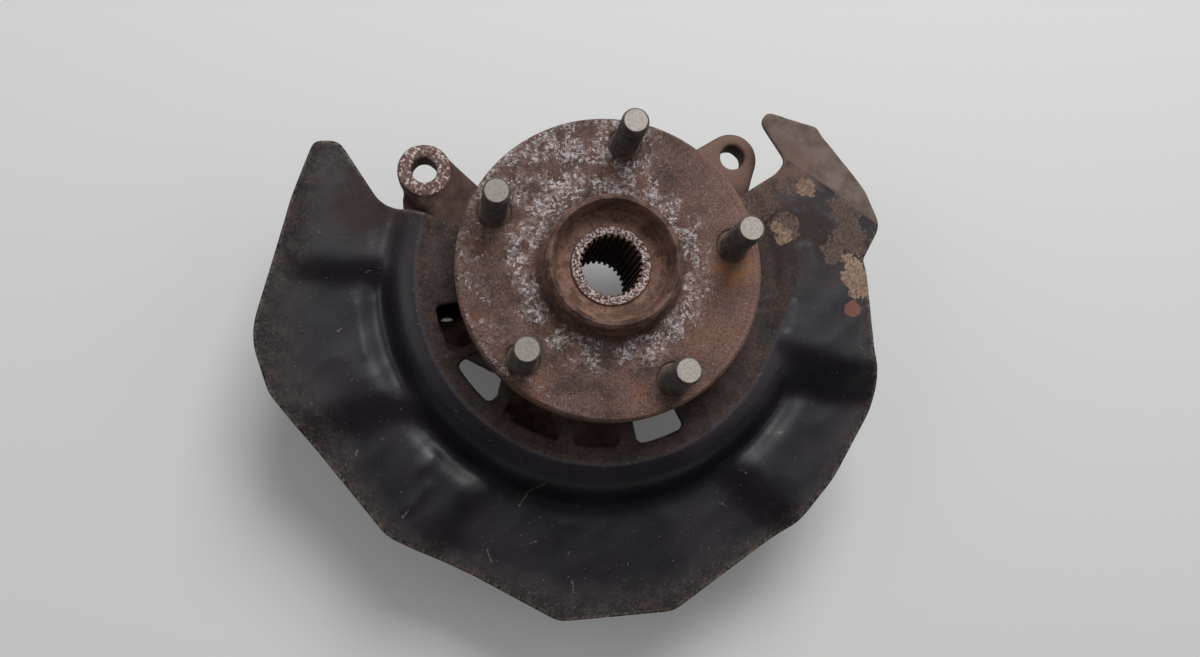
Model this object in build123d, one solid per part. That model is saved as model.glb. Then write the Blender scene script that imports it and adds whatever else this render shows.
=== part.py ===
from build123d import *
from math import cos, radians, sin
import os

# Steering knuckle with its wheel hub, bearing and dust shield.
# Frame: origin where the spin axis meets the wheel mounting face of the hub, +Z outboard along
# that axis, +X along the line through the two caliper ears.  The part rests on its inboard side.

# Hub
FLANGE_R = 69.0
FLANGE_THICK = 12.5
FLANGE_EDGE = 1.2
PILOT_R = 30.0
PILOT_HEIGHT = 14.0
PILOT_ROOT_R = 33.4
PILOT_WALL_R = 26.6
RECESS_FLOOR_R = 23.0
RECESS_FLOOR_Z = 1.4
SEAT_R = 17.7
SEAT_Z = 2.6
HUB_SHOULDER_R = 29.0
HUB_END_RELIEF = 2.0
SPLINE_MINOR_R = 13.1
SPLINE_MAJOR_R = 14.2
SPLINE_TEETH = 30
SPLINE_GAP_W = 1.45
SPLINE_END_RELIEF_R = 15.6
SPLINE_END_RELIEF_L = 5.0

# Wheel studs
STUD_COUNT = 5
STUD_PCD = 114.3
STUD_FIRST_ANGLE = 78.7
STUD_R = 6.0
STUD_LENGTH = 32.0
STUD_TIP_CHAMFER = 1.1
STUD_KNURL_R = 7.15
STUD_KNURL_DROP = 0.8
STUD_HEAD_R = 9.4
STUD_HEAD_THICK = 3.5
STUD_HOLE_CHAMFER = 0.9

# Wheel bearing
BEARING_BORE_R = 22.5
BEARING_OUTER_R = 42.0
BEARING_WIDTH = 41.0
BEARING_OUTER_WIDTH = 39.0
BEARING_FRONT_Z = -20.5
BALL_R = 5.6
BALL_SEAT_DEPTH = 1.6
BALL_PITCH_SHIFT = 0.25
BALL_COUNT = 13
BALL_ROW_OFFSET = 9.5
BALL_GAP = 0.15
CAGE_HALF_THICK = 1.3
CAGE_HALF_WIDTH = 6.8
SEAL_THICK = 1.8
SEAL_INSET = 0.3
SEAL_LIP_GAP = 0.3
SNAP_THICK = 2.2
SNAP_DEPTH = 1.9
SNAP_SHY = 0.1
SNAP_LAND = 3.4
SNAP_GAP_ANGLE = 24.0
SNAP_EYE_R = 1.3

# Knuckle casting
HOUSING_R = 51.0
HOUSING_FRONT_Z = -18.2
HOUSING_LIP = 3.5
HOUSING_LIP_THICK = 3.0
COLLAR_R = 61.0
COLLAR_THICK = 9.0
REST_Z = -100.0
CAST_ROUND = 4.0
EAR_SPAN = 152.5
EAR_SHIFT = -3.75
EAR_Y = 60.5
EAR_R = 13.0
EAR_HOLE_R = 6.2
EAR_FACE_Z = -40.0
EAR_THICK = 14.0
EAR_PAD_RISE = 1.5
STRUT_HOLE_R = 7.2
STRUT_BOSS_R = 16.0
STRUT_HOLE_SPACING = 50.0
STRUT_FIRST_X = -72.0
STRUT_THICK = 24.0
STRUT_MID_Y = 12.0
SENSOR_HOLE_R = 9.0
SENSOR_X = -74.0
SENSOR_Y = -3.5
BALL_JOINT_X = 98.0
BALL_JOINT_Y = 8.0
BALL_JOINT_R = 20.0
BALL_JOINT_LENGTH = 28.0
BALL_JOINT_HOLE_R = 8.4
TIE_ROD_X = -32.0
TIE_ROD_Y = -112.0
TIE_ROD_R = 16.0
TIE_ROD_LENGTH = 27.0
TIE_ROD_HOLE_R = 7.1
TAPER_PER_MM = 0.06

# Dust shield
SHEET = 1.2
SHIELD_SEAT_Z = -28.2
SHIELD_HOLE_R = 51.8
SHIELD_RING_R = 62.0
LIP_R = 83.0
LIP_RISE = 1.6
SHOULDER_R = 90.5
SLOPE_END_R = 102.0
LOW_FIELD_Z = -46.0
FIELD_Z = -40.0
FIELD_R = 112.0
RIGHT_PAD_Z = -33.0
LEFT_PAD_Z = -34.0
PRESS_ANGLE = 45.0
FLAP_ANGLE = 30.0
WINDOW_INNER_R = 65.0
WINDOW_OUTER_R = 79.0
WINDOW_ROUND = 3.0
BOLT_CIRCLE_R = 57.6
BOLT_ANGLES = (165.0, 232.0, 315.0, 15.0)
BOLT_R = 3.0
BOLT_DEPTH = 12.0
BOLT_HOLE_R = 3.3
BOLT_FLANGE_R = 6.3
BOLT_FLANGE_THICK = 1.2
BOLT_HEX_R = 5.5
BOLT_HEX_THICK = 4.0

# Places that follow from the sizes above
FLANGE_BACK_Z = -FLANGE_THICK
BEARING_BACK_Z = BEARING_FRONT_Z - BEARING_WIDTH
BEARING_MID_Z = (BEARING_FRONT_Z + BEARING_BACK_Z) / 2
OUTER_RING_FRONT_Z = BEARING_MID_Z + BEARING_OUTER_WIDTH / 2
OUTER_RING_BACK_Z = BEARING_MID_Z - BEARING_OUTER_WIDTH / 2
HOUSING_BACK_Z = OUTER_RING_BACK_Z - HOUSING_LIP_THICK
HUB_END_Z = BEARING_BACK_Z + HUB_END_RELIEF
BALL_PITCH_R = (BEARING_BORE_R + BEARING_OUTER_R) / 2 + BALL_PITCH_SHIFT
INNER_RING_R = BALL_PITCH_R - BALL_R + BALL_SEAT_DEPTH
OUTER_RING_BORE_R = BALL_PITCH_R + BALL_R - BALL_SEAT_DEPTH
CAGE_INNER_R = BALL_PITCH_R - CAGE_HALF_THICK
CAGE_OUTER_R = BALL_PITCH_R + CAGE_HALF_THICK
SNAP_INNER_R = BEARING_OUTER_R - SNAP_LAND
HOUSING_LIP_R = BEARING_OUTER_R - HOUSING_LIP
SHIELD_TOP_Z = SHIELD_SEAT_Z + SHEET
ROW_Z = (BEARING_MID_Z + BALL_ROW_OFFSET, BEARING_MID_Z - BALL_ROW_OFFSET)
EAR_X = (EAR_SHIFT - EAR_SPAN / 2, EAR_SHIFT + EAR_SPAN / 2)

# Shield outline: corner x, corner y, corner radius
SHIELD_CORNERS = (
    (-131.0, 76.5, 5.0),
    (-143.5, 46.0, 60.0),
    (-164.0, -11.0, 16.0),
    (-155.0, -46.0, 50.0),
    (-106.0, -111.5, 22.0),
    (-31.0, -156.8, 14.0),
    (20.0, -158.0, 30.0),
    (88.0, -119.5, 45.0),
    (127.0, -83.0, 60.0),
    (134.5, -40.0, 50.0),
    (134.8, 4.0, 8.0),
    (145.6, 25.0, 14.0),
    (134.0, 52.0, 30.0),
    (120.3, 66.5, 3.0),
    (118.5, 73.8, 4.0),
    (91.5, 81.5, 4.0),
    (85.6, 76.0, 4.0),
    (99.5, 57.0, 6.0),
    (88.0, 44.5, 12.0),
    (40.0, 24.0, 6.0),
    (-40.0, 22.0, 6.0),
    (-80.0, 38.5, 20.0),
    (-97.5, 45.5, 12.0),
    (-118.0, 76.0, 8.0),
)
# Shield windows: first angle, last angle
WINDOW_ANGLES = ((186.0, 203.0), (207.0, 224.0), (229.0, 250.5), (255.0, 271.0), (277.0, 294.0))
LEFT_FIELD_ANGLES = (146.0, 203.0)
RIDGE_ANGLES = (203.0, 226.0)
RIGHT_FIELD_ANGLES = (-49.0, 34.0)
RIGHT_PAD_CORNERS = ((92.0, 12.0), (127.5, 9.5), (125.5, -40.0), (111.5, -53.0), (91.0, -38.0), (88.0, -28.0))
LEFT_PAD_CORNERS = ((-141.0, 16.0), (-122.0, 13.0), (-107.0, 15.0), (-103.0, 44.0), (-108.0, 74.0), (-131.0, 70.0))
PAD_ROUND = 7.0
FOLD_START = (98.2, 59.5)
FOLD_END = (142.0, 33.8)
FORM_REACH = 190.0
FORM_DEPTH = 24.0


def polar(radius, angle):
    return (radius * cos(radians(angle)), radius * sin(radians(angle)))


def tube(outer, inner, top, bottom):
    ring = Circle(outer) - Circle(inner)
    return Pos(0, 0, bottom) * extrude(ring, top - bottom)


def disc(radius, top, bottom):
    return Pos(0, 0, bottom) * extrude(Circle(radius), top - bottom)


def turned(points):
    profile = Plane.XZ * make_face(Polyline(*points, close=True))
    return revolve(profile, Axis.Z)


def hull_plate(first, first_r, second, second_r, top, bottom):
    rounds = Sketch() + [Pos(*first) * Circle(first_r), Pos(*second) * Circle(second_r)]
    plate = Pos(0, 0, bottom) * extrude(make_hull(rounds.edges()), top - bottom)
    flat_edges = plate.edges().filter_by(GeomType.LINE).filter_by(Axis.Z, reverse=True)
    return fillet(flat_edges + plate.edges().filter_by(GeomType.CIRCLE), CAST_ROUND)


def cross_boss(x, y, z, radius, length):
    boss = Pos(x, y, z) * Rotation(0, 90, 0) * Cylinder(radius, length)
    return chamfer(boss.edges().filter_by(GeomType.CIRCLE), 1.5)


def cross_taper(x, y, z, radius, length):
    small = radius - TAPER_PER_MM * length
    return Pos(x, y, z) * Rotation(0, 90, 0) * Cone(small, radius, length)


# ---- hub and studs

def hub_blank():
    end = HUB_END_Z
    return turned([
        (0, SEAT_Z), (SEAT_R, SEAT_Z), (SEAT_R + 0.7, RECESS_FLOOR_Z), (RECESS_FLOOR_R, RECESS_FLOOR_Z),
        (RECESS_FLOOR_R + 2, RECESS_FLOOR_Z + 2), (PILOT_WALL_R, PILOT_HEIGHT - 1.2),
        (PILOT_WALL_R + 0.9, PILOT_HEIGHT), (PILOT_R - 1.3, PILOT_HEIGHT), (PILOT_R, PILOT_HEIGHT - 1.4),
        (PILOT_R, 3.4), (PILOT_R + 1.2, 1.2), (PILOT_ROOT_R, 0),
        (FLANGE_R - FLANGE_EDGE, 0), (FLANGE_R, -FLANGE_EDGE),
        (FLANGE_R, FLANGE_BACK_Z + FLANGE_EDGE), (FLANGE_R - FLANGE_EDGE, FLANGE_BACK_Z),
        (HUB_SHOULDER_R + 7, FLANGE_BACK_Z), (HUB_SHOULDER_R + 1, FLANGE_BACK_Z - 4),
        (HUB_SHOULDER_R, BEARING_FRONT_Z), (BEARING_BORE_R, BEARING_FRONT_Z),
        (BEARING_BORE_R, end + 1), (BEARING_BORE_R - 1, end), (0, end),
    ])


def spline_cutter():
    length = SEAT_Z - HUB_END_Z
    gap = Rectangle(SPLINE_MAJOR_R - SPLINE_MINOR_R + 1, SPLINE_GAP_W)
    gap_mid_r = (SPLINE_MAJOR_R + SPLINE_MINOR_R - 1) / 2
    profile = Circle(SPLINE_MINOR_R) + [place * gap for place in PolarLocations(gap_mid_r, SPLINE_TEETH)]
    teeth = Pos(0, 0, HUB_END_Z) * extrude(profile, length)
    mouth = Pos(0, 0, SEAT_Z - 0.75) * Cone(SPLINE_MINOR_R - 0.4, SPLINE_MAJOR_R, 1.5)
    relief = disc(SPLINE_END_RELIEF_R, HUB_END_Z + SPLINE_END_RELIEF_L, HUB_END_Z)
    return teeth + mouth + relief


def stud_places():
    return PolarLocations(STUD_PCD / 2, STUD_COUNT, STUD_FIRST_ANGLE)


def make_hub():
    hole = disc(STUD_KNURL_R, 1, FLANGE_BACK_Z - 1)
    depth = STUD_HOLE_CHAMFER
    mouth = Pos(0, 0, -depth / 2) * Cone(STUD_KNURL_R, STUD_KNURL_R + depth, depth)
    cutters = [place * (hole + mouth) for place in stud_places()]
    return hub_blank() - spline_cutter() - cutters


def make_stud():
    back = FLANGE_BACK_Z
    tip = STUD_LENGTH
    return turned([
        (0, tip), (STUD_R - STUD_TIP_CHAMFER, tip), (STUD_R, tip - STUD_TIP_CHAMFER),
        (STUD_R, 0), (STUD_KNURL_R, -STUD_KNURL_DROP), (STUD_KNURL_R, back),
        (STUD_HEAD_R, back), (STUD_HEAD_R, back - STUD_HEAD_THICK + 0.8),
        (STUD_HEAD_R - 0.8, back - STUD_HEAD_THICK), (0, back - STUD_HEAD_THICK),
    ])


# ---- bearing

def race_cutters():
    groove = Torus(BALL_PITCH_R, BALL_R + BALL_GAP)
    return [Pos(0, 0, z) * groove for z in ROW_Z]


def make_outer_ring():
    ring = tube(BEARING_OUTER_R, OUTER_RING_BORE_R, OUTER_RING_FRONT_Z, OUTER_RING_BACK_Z)
    return ring - race_cutters()


def make_inner_ring(top, bottom):
    return tube(INNER_RING_R, BEARING_BORE_R, top, bottom) - race_cutters()


def make_balls(row_z):
    places = Pos(0, 0, row_z) * PolarLocations(BALL_PITCH_R, BALL_COUNT)
    return Compound([place * Sphere(BALL_R) for place in places])


def make_cage(row_z):
    ring = tube(CAGE_OUTER_R, CAGE_INNER_R, row_z + CAGE_HALF_WIDTH, row_z - CAGE_HALF_WIDTH)
    pocket = Rotation(0, 90, 0) * Cylinder(BALL_R + BALL_GAP, CAGE_HALF_THICK * 8)
    return ring - [place * pocket for place in Pos(0, 0, row_z) * PolarLocations(BALL_PITCH_R, BALL_COUNT)]


def make_seal(outer_face_z, inward):
    far = outer_face_z + inward * SEAL_THICK
    lip_r = INNER_RING_R + SEAL_LIP_GAP
    return tube(OUTER_RING_BORE_R, lip_r, max(outer_face_z, far), min(outer_face_z, far))


def make_snap_ring():
    bottom = OUTER_RING_FRONT_Z
    outer = BEARING_OUTER_R + SNAP_DEPTH - SNAP_SHY
    ring = tube(outer, SNAP_INNER_R, bottom + SNAP_THICK, bottom)
    half = SNAP_GAP_ANGLE / 2
    gap = make_face(Polyline((0, 0), polar(80, 270 - half), polar(80, 270 + half), close=True))
    ring = ring - Pos(0, 0, bottom - 1) * extrude(gap, SNAP_THICK + 2)
    eye_r = (SNAP_INNER_R + outer) / 2
    for angle in (270 - half - 4, 270 + half + 4):
        ring = ring - Pos(*polar(eye_r, angle), 0) * disc(SNAP_EYE_R, bottom + SNAP_THICK + 1, bottom - 1)
    return ring


# ---- knuckle casting

def housing_blank():
    barrel = disc(HOUSING_R, HOUSING_FRONT_Z, HOUSING_BACK_Z)
    barrel = chamfer(barrel.edges().filter_by(GeomType.CIRCLE), 1.5)
    collar = disc(COLLAR_R, SHIELD_SEAT_Z, SHIELD_SEAT_Z - COLLAR_THICK)
    return barrel + collar


def housing_cutters():
    through = disc(HOUSING_LIP_R, HOUSING_FRONT_Z + 1, HOUSING_BACK_Z - 1)
    seat = disc(BEARING_OUTER_R, HOUSING_FRONT_Z + 1, OUTER_RING_BACK_Z)
    groove_top = OUTER_RING_FRONT_Z + SNAP_THICK + SNAP_SHY
    groove = disc(BEARING_OUTER_R + SNAP_DEPTH, groove_top, OUTER_RING_FRONT_Z)
    return through + seat + groove


def left_ear_arm():
    top = EAR_FACE_Z - EAR_PAD_RISE
    bottom = EAR_FACE_Z - EAR_THICK
    arm = hull_plate((EAR_X[0], EAR_Y), EAR_R, (-48, 22), 16, top, bottom)
    pad = Pos(EAR_X[0], EAR_Y, 0) * disc(EAR_R, EAR_FACE_Z, top - CAST_ROUND - 1)
    gusset = hull_plate((-58, 34), 10, (-40, 14), 14, bottom + 6, HOUSING_BACK_Z + 2)
    return arm + pad + gusset


def right_ear_arm():
    bottom = EAR_FACE_Z - EAR_THICK
    arm = hull_plate((EAR_X[1], EAR_Y), EAR_R, (40, 25), 30, EAR_FACE_Z, bottom)
    gusset = hull_plate((56, 38), 11, (38, 20), 18, bottom + 6, HOUSING_BACK_Z + 2)
    return arm + gusset


def strut_arm():
    z = REST_Z + STRUT_BOSS_R
    ends = (STRUT_FIRST_X, STRUT_FIRST_X - STRUT_HOLE_SPACING)
    half = STRUT_THICK / 2
    tab = hull_plate((ends[0], z), STRUT_BOSS_R, (ends[1], z), STRUT_BOSS_R, half, -half)
    tab = Pos(0, STRUT_MID_Y, 0) * Rotation(90, 0, 0) * tab
    web = hull_plate((-38, -4), 34, (-76, -2), 16, -46, REST_Z + 12)
    spine = hull_plate((-70, STRUT_MID_Y), 10, (-118, STRUT_MID_Y), 7, -58, REST_Z + 14)
    return web + tab + spine


def ball_joint_arm():
    z = REST_Z + BALL_JOINT_R
    web = hull_plate((34, 4), 34, (BALL_JOINT_X - 8, BALL_JOINT_Y), 16, -50, REST_Z + 8)
    boss = cross_boss(BALL_JOINT_X, BALL_JOINT_Y, z, BALL_JOINT_R, BALL_JOINT_LENGTH)
    return web + boss


def tie_rod_arm():
    z = REST_Z + TIE_ROD_R
    root = hull_plate((-22, -34), 27, (-28, -68), 19, -44, REST_Z + 18)
    arm = hull_plate((-26, -58), 19, (TIE_ROD_X, TIE_ROD_Y), 12, -54, REST_Z + 8)
    boss = cross_boss(TIE_ROD_X, TIE_ROD_Y, z, TIE_ROD_R, TIE_ROD_LENGTH)
    return root + arm + boss


def knuckle_holes():
    deep = disc(EAR_HOLE_R, EAR_FACE_Z + 1, EAR_FACE_Z - EAR_THICK - 1)
    cutters = [Pos(x, EAR_Y, 0) * deep for x in EAR_X]
    z = REST_Z + STRUT_BOSS_R
    for x in (STRUT_FIRST_X, STRUT_FIRST_X - STRUT_HOLE_SPACING):
        cutters.append(Pos(x, STRUT_MID_Y, z) * Rotation(90, 0, 0) * Cylinder(STRUT_HOLE_R, STRUT_THICK + 20))
    cutters.append(Pos(SENSOR_X, SENSOR_Y, 0) * disc(SENSOR_HOLE_R, -30, REST_Z))
    ball_z = REST_Z + BALL_JOINT_R
    cutters.append(cross_taper(BALL_JOINT_X, BALL_JOINT_Y, ball_z, BALL_JOINT_HOLE_R, BALL_JOINT_LENGTH + 1))
    rod_z = REST_Z + TIE_ROD_R
    cutters.append(cross_taper(TIE_ROD_X, TIE_ROD_Y, rod_z, TIE_ROD_HOLE_R, TIE_ROD_LENGTH + 1))
    for angle in BOLT_ANGLES:
        hole = disc(BOLT_R, SHIELD_SEAT_Z + 1, SHIELD_SEAT_Z - BOLT_DEPTH)
        cutters.append(Pos(*polar(BOLT_CIRCLE_R, angle), 0) * hole)
    return cutters


def bolt_pads():
    pad = disc(BOLT_R * 2.6, SHIELD_SEAT_Z, SHIELD_SEAT_Z - BOLT_DEPTH - 3)
    return [Pos(*polar(BOLT_CIRCLE_R, angle), 0) * pad for angle in BOLT_ANGLES]


def inner_clearance():
    inside = disc(HOUSING_R - 2, HOUSING_BACK_Z, REST_Z - 1)
    return chamfer(inside.edges().group_by(Axis.Z)[-1], 1)


def make_knuckle():
    body = housing_blank()
    for arm in (left_ear_arm(), right_ear_arm(), strut_arm(), ball_joint_arm(), tie_rod_arm()):
        body = body + arm
    for pad in bolt_pads():
        body = body + pad
    return body - inner_clearance() - housing_cutters() - knuckle_holes()


# ---- dust shield

def sector(first, last, inner):
    middle = (first + last) / 2
    wedge = make_face(Polyline(
        (0, 0), polar(FORM_REACH * 1.5, first), polar(FORM_REACH * 1.5, middle),
        polar(FORM_REACH * 1.5, last), close=True,
    ))
    return (Circle(FORM_REACH) - Circle(inner)) & wedge


def pressed(face, top):
    return Pos(0, 0, top) * extrude(face, FORM_DEPTH, dir=(0, 0, -1), taper=-PRESS_ANGLE)


def pad_face(corners):
    points = make_face(Polyline(*corners, close=True))
    return fillet(points.vertices(), PAD_ROUND)


def flap_form():
    run = Vector(FOLD_END[0] - FOLD_START[0], FOLD_END[1] - FOLD_START[1])
    plane = Plane(origin=(*FOLD_START, FIELD_Z), x_dir=(run.X, run.Y, 0), z_dir=(0, 0, 1))
    block = Pos(30, 40, -20) * Box(180, 80, 40)
    return plane * Rotation(FLAP_ANGLE, 0, 0) * block


def shield_form():
    floor = LOW_FIELD_Z - FORM_DEPTH
    base = turned([
        (0, floor), (0, SHIELD_TOP_Z), (LIP_R, SHIELD_TOP_Z),
        (LIP_R + LIP_RISE, SHIELD_TOP_Z + LIP_RISE), (SHOULDER_R, SHIELD_TOP_Z + LIP_RISE),
        (SLOPE_END_R, LOW_FIELD_Z), (FORM_REACH, LOW_FIELD_Z), (FORM_REACH, floor),
    ])
    fields = [pressed(sector(*LEFT_FIELD_ANGLES, FIELD_R), FIELD_Z)]
    fields.append(pressed(sector(*RIGHT_FIELD_ANGLES, FIELD_R), FIELD_Z))
    ridge = sector(*RIDGE_ANGLES, FIELD_R) & Circle(FIELD_R + 3)
    fields.append(pressed(ridge, FIELD_Z - 1))
    fields.append(pressed(pad_face(RIGHT_PAD_CORNERS), RIGHT_PAD_Z))
    fields.append(pressed(pad_face(LEFT_PAD_CORNERS), LEFT_PAD_Z))
    return base + fields + flap_form()


def shield_outline():
    corners = [(x, y) for x, y, radius in SHIELD_CORNERS]
    radii = [radius for x, y, radius in SHIELD_CORNERS]
    return make_face(FilletPolyline(*corners, radius=radii, close=True)) + Circle(SHIELD_RING_R)


def window_face(first, last):
    face = (Circle(WINDOW_OUTER_R) - Circle(WINDOW_INNER_R)) & sector(first, last, WINDOW_INNER_R - 1)
    return fillet(face.vertices(), WINDOW_ROUND)


def make_shield():
    form = shield_form()
    skin = form - Pos(0, 0, -SHEET) * form
    holes = [window_face(*angles) for angles in WINDOW_ANGLES]
    holes += [Pos(*polar(BOLT_CIRCLE_R, angle)) * Circle(BOLT_HOLE_R) for angle in BOLT_ANGLES]
    plan = shield_outline() - Circle(SHIELD_HOLE_R) - holes
    return skin & Pos(0, 0, LOW_FIELD_Z - 10) * extrude(plan, 60)


def make_shield_bolt():
    flange = disc(BOLT_FLANGE_R, SHIELD_TOP_Z + BOLT_FLANGE_THICK, SHIELD_TOP_Z)
    hexagon = extrude(RegularPolygon(BOLT_HEX_R, 6), BOLT_FLANGE_THICK + BOLT_HEX_THICK)
    hexagon = Pos(0, 0, SHIELD_TOP_Z) * hexagon
    shank = disc(BOLT_R, SHIELD_TOP_Z, SHIELD_SEAT_Z - BOLT_DEPTH + 1)
    return flange + hexagon + shank


def build_parts():
    parts = {"hub": make_hub(), "knuckle": make_knuckle(), "dust_shield": make_shield()}
    for number, place in enumerate(stud_places(), 1):
        parts[f"wheel_stud_{number}"] = place * make_stud()
    for number, angle in enumerate(BOLT_ANGLES, 1):
        parts[f"shield_bolt_{number}"] = Pos(*polar(BOLT_CIRCLE_R, angle), 0) * make_shield_bolt()
    parts["bearing_outer_ring"] = make_outer_ring()
    parts["bearing_inner_ring_outboard"] = make_inner_ring(BEARING_FRONT_Z, BEARING_MID_Z)
    parts["bearing_inner_ring_inboard"] = make_inner_ring(BEARING_MID_Z, BEARING_BACK_Z)
    for side, row_z in zip(("outboard", "inboard"), ROW_Z):
        parts[f"bearing_balls_{side}"] = make_balls(row_z)
        parts[f"bearing_cage_{side}"] = make_cage(row_z)
    parts["bearing_seal_outboard"] = make_seal(OUTER_RING_FRONT_Z - SEAL_INSET, -1)
    parts["bearing_seal_inboard"] = make_seal(OUTER_RING_BACK_Z + SEAL_INSET, 1)
    parts["snap_ring"] = make_snap_ring()
    return parts


os.makedirs("parts", exist_ok=True)
for name, shape in build_parts().items():
    export_step(shape, f"parts/{name}.step")
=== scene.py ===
from math import atan2, cos, pi, radians, sin, tan

import bmesh
import bpy
import numpy as np
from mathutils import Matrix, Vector, geometry, noise


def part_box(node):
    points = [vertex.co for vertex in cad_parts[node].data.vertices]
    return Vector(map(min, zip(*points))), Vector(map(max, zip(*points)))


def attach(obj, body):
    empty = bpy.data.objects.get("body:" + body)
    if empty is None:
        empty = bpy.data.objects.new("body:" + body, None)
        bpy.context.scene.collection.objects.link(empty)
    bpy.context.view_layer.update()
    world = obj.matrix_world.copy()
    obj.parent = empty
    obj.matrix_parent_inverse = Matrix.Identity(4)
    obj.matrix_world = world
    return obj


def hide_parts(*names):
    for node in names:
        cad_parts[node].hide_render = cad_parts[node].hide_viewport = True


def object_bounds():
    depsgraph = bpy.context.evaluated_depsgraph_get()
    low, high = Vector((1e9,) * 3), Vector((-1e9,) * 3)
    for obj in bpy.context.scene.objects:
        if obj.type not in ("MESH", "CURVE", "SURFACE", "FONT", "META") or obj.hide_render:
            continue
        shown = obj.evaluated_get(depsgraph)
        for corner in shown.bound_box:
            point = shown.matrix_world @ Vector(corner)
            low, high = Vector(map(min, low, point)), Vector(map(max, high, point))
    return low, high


# A used steering knuckle on a pale table: rusted hub, rough casting and a worn black dust shield.
# Lengths are metres unless a name ends in _mm, and the frame's origin is the middle of the wheel face.

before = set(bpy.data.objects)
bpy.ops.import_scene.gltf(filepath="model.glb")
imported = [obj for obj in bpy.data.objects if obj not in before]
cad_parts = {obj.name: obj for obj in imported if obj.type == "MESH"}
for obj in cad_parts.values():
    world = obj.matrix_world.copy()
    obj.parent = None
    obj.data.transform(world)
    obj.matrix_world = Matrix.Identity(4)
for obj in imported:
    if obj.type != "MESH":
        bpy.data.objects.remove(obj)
cad_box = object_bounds()
MM = 0.001

# ---------------------------------------------------------------- sizes
CAMERA_PLACE = (-0.0712, -0.0927, 0.4533)
CAMERA_TURN_DEG = (8.738, -7.353, -4.734)
CAMERA_LENS = 31.5
SENSOR_WIDTH = 36.0
CLIP_START = 0.01

# The lamps: name, place, width and depth, power in watts, where each points
MIDDLE = (0, 0, -0.05)
LAMPS = (
    ("key_lamp", (0.35, 1.05, 1.20), (0.90, 0.90), 26.0, MIDDLE),
    ("left_lamp", (-1.10, 0.25, 0.95), (0.90, 0.90), 3.5, MIDDLE),
    ("right_lamp", (1.15, -0.10, 0.95), (0.90, 0.90), 3.0, MIDDLE),
    ("ceiling_lamp", (0.20, 0.75, 2.00), (2.00, 1.20), 3.8, (0.20, 0.7501, 0.0)),
)
WORLD_COLOUR = (1.0, 1.0, 1.0, 1)
WORLD_STRENGTH = 0.12
PALE_GREY = (0.60, 0.61, 0.60, 1)
TABLE_REACH = 6.0
TABLE_ROUGHNESS = 0.75
SEEN_RAYS = ("Is Camera Ray", "Is Glossy Ray", "Is Transmission Ray")
SHADOW_LIFT = 0.11
SHADOW_COLOUR = (0.74, 0.74, 0.75, 1)

# The dust shield: its sheet, the spacing of its mesh, and how far its creases are rounded
SHEET_mm = 1.2
SKIN_SPACING_mm = 1.6
ROW_SHARE = 0.866
RIM_SPACING_mm = 1.3
LIP_ROUNDS, CREASE_ROUNDS = 4, 12
LIP_END_mm = (86.5, 92.0)
RING_R_mm = 62.0
OUTBOARD_TILT = 0.25
# The shield's outline: corner x, corner y, corner radius
OUTLINE_mm = (
    (-84.0, 36.8, 25.0), (-101.5, 43.2, 9.0), (-118.4, 73.4, 7.0), (-129.8, 73.6, 4.0),
    (-141.8, 47.5, 50.0), (-162.7, -15.5, 35.0), (-155.3, -42.4, 16.0), (-106.6, -111.2, 22.0),
    (-70.0, -131.6, 120.0), (-31.0, -156.8, 12.0), (23.5, -157.3, 14.0), (86.0, -121.0, 40.0),
    (106.0, -101.5, 60.0), (131.0, -66.0, 22.0), (127.8, -44.0, 60.0), (128.6, 1.5, 6.0),
    (141.6, 19.5, 10.0), (135.5, 38.5, 30.0), (115.8, 65.8, 3.0), (113.4, 70.4, 2.0),
    (87.5, 77.6, 3.0), (83.4, 72.4, 3.5), (94.4, 52.6, 4.0), (88.5, 46.0, 14.0),
    (40.0, 24.0, 6.0), (-40.0, 22.0, 6.0),
)
# The turned rings round the bearing: radius, height
RINGS_mm = (
    (84.5, -27.0), (86.1, -25.4), (88.5, -25.4), (97.5, -28.9),
    (99.5, -32.0), (103.5, -44.5), (105.0, -48.0),
)
# The pressed areas: height, fall of the sides, least radius, corners of the flat top
PRESSED_mm = (
    (-35.0, 0.60, 113.5, ((-60, -37), (-178, -62.3), (-190, 20), (-150, 110), (-60, 80))),
    (-42.0, 0.75, 113.0, ((-40, -66.5), (-135, -160.3), (-190, -100), (-190, -40), (-60, -30))),
    (-39.0, 0.75, 112.0, ((45, -69.5), (118, -159.3), (190, -100), (190, 20), (60, -10))),
    (-30.5, 1.00, 0.0, ((-141, 17), (-123, 12.8), (-105, 14.5), (-102, 44), (-108, 78), (-131, 74))),
    (-24.4, 1.00, 89.0, ((70, -31), (92, -40.7), (116, -50.4), (121, 31), (115.6, 37.8),
                         (93.5, 55), (72, 44))),
    (-24.4, 1.00, 89.0, ((100, -6), (112, 3), (140, -7), (140, -53), (110, -48))),
)
# The right wing's flap: a place on it, its fall per millimetre along x and y, its corners
FLAP_PLACE_mm = (94.0, 53.5, -24.6)
FLAP_FALL = (0.19, 0.04)
FLAP_mm = ((75, 70), (93, 54), (116, 36), (118, 20), (116, -4), (150, -4), (150, 90), (75, 90))
# Small pressed lines of the shield: start, end, half width, height
CREASES_mm = (
    ((-114.4, -4.0), (-112.0, -28.0), 1.6, 0.25),
    ((-84.0, -76.5), (-88.5, -80.5), 3.5, 1.0),
    ((-87.0, -90.0), (-95.0, -98.5), 2.5, 0.4),
    ((91.3, 3.0), (90.4, -14.5), 1.0, -0.7),
    ((90.4, -14.5), (86.0, -30.0), 1.0, -0.6),
    ((96.0, 45.5), (112.0, 36.0), 1.4, 0.5),
)
# Slow waves of the sheet: height, then two sines, each as radians per millimetre in x and y, and shift
WAVES_mm = (
    (0.35, (0.071, 0.0, 0.6), (0.0, 0.083, -0.4)),
    (0.20, (0.19, -0.11, 0.0), (0.0, 0.17, 1.0)),
)
WAVES_FROM_mm = (84, 110)

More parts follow.
